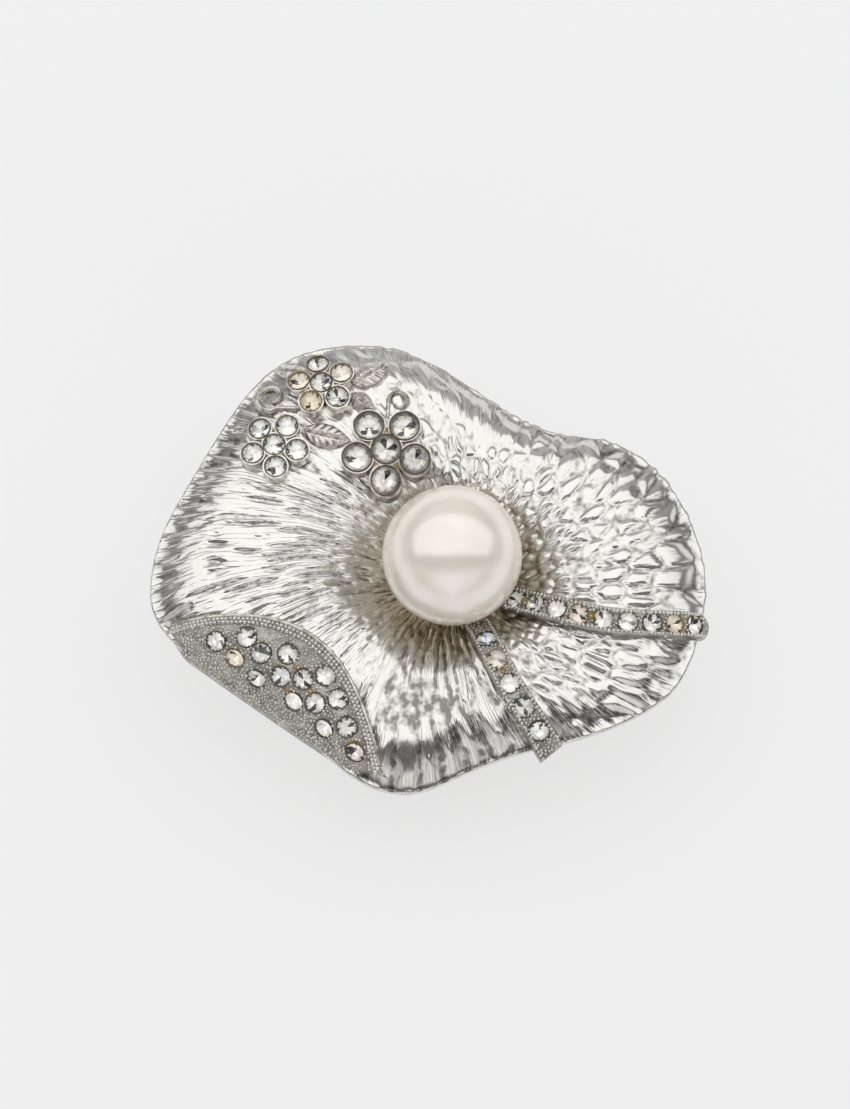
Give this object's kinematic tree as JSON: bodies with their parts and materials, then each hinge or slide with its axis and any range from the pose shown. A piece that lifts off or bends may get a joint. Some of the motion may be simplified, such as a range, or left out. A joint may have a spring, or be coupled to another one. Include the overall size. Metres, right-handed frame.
{
  "type": "hair clip",
  "caption": "Hair clip with a wavy hammered metal petal, crystal bands, a small floral spray and a large faux pearl over a hinged, sprung barrette clasp.",
  "frame": {"origin": "under the middle of the clip's box, on the plane that the closed clasp rests on", "axes": "+X along the barrette from its hinge to its catch, +Y across the petal towards the spray, +Z from the clasp up to the pearl"},
  "size_m": [0.0606, 0.0509, 0.0275],
  "materials": {
    "bright_plate": "hammered casting, bright silver-coloured plating",
    "frosted_plate": "granulated casting, silver-coloured plating",
    "satin_plate": "fine casting, silver-coloured plating",
    "crystal": "faceted clear glass, mirror-foiled back",
    "pearl": "cream pearl lacquer, soft gloss",
    "clip_steel": "stamped steel strip, nickel plated",
    "spring_steel": "thin spring steel strip, nickel plated"
  },
  "bodies": {
    "ornament": {"petal": "bright_plate", "turnover": "frosted_plate", "right_band": "frosted_plate", "lower_band": "frosted_plate", "cluster_top": "satin_plate", "cluster_left": "satin_plate", "cluster_right": "satin_plate", "leaf_top_left": "satin_plate", "leaf_top_right": "satin_plate", "leaf_middle": "satin_plate", "leaf_small": "satin_plate", "tendril_left": "satin_plate", "tendril_right": "satin_plate", "turnover_stones": "crystal", "right_band_stones": "crystal", "lower_band_stones": "crystal", "cluster_top_stones": "crystal", "cluster_left_stones": "crystal", "cluster_right_stones": "crystal", "pearl": "pearl", "pearl_cup": "satin_plate", "pearl_post": "satin_plate", "mounting_posts": "satin_plate", "bar_rivets": "clip_steel", "base_bar": "clip_steel", "hinge_pin": "clip_steel", "catch_plate": "clip_steel", "catch_rivet": "clip_steel"},
    "closing_arm": {"closing_arm": "clip_steel"},
    "tension_bow": {"tension_bow": "spring_steel"},
    "catch_leg_back": {"catch_leg_back": "spring_steel"},
    "catch_leg_front": {"catch_leg_front": "spring_steel"}
  },
  "joints": [
    {"name": "arm_hinge", "type": "hinge", "parent": "ornament", "child": "closing_arm", "pos_m": [-0.024, 0, 0.0053], "axis": [0, 1, 0], "range_deg": [0, 95]},
    {"name": "bow_press", "type": "hinge", "parent": "ornament", "child": "tension_bow", "pos_m": [-0.024, 0, 0.0053], "axis": [0, -1, 0], "range_deg": [0, 1.2], "stiffness_Nm_per_rad": 0.2},
    {"name": "back_leg_squeeze", "type": "hinge", "parent": "ornament", "child": "catch_leg_back", "pos_m": [0.0225, 0.00155, 0.0064], "axis": [-1, 0, 0], "range_deg": [0, 6], "stiffness_Nm_per_rad": 0.01},
    {"name": "front_leg_squeeze", "type": "hinge", "parent": "ornament", "child": "catch_leg_front", "pos_m": [0.0225, -0.00155, 0.0064], "axis": [1, 0, 0], "range_deg": [0, 6], "stiffness_Nm_per_rad": 0.01}
  ]
}
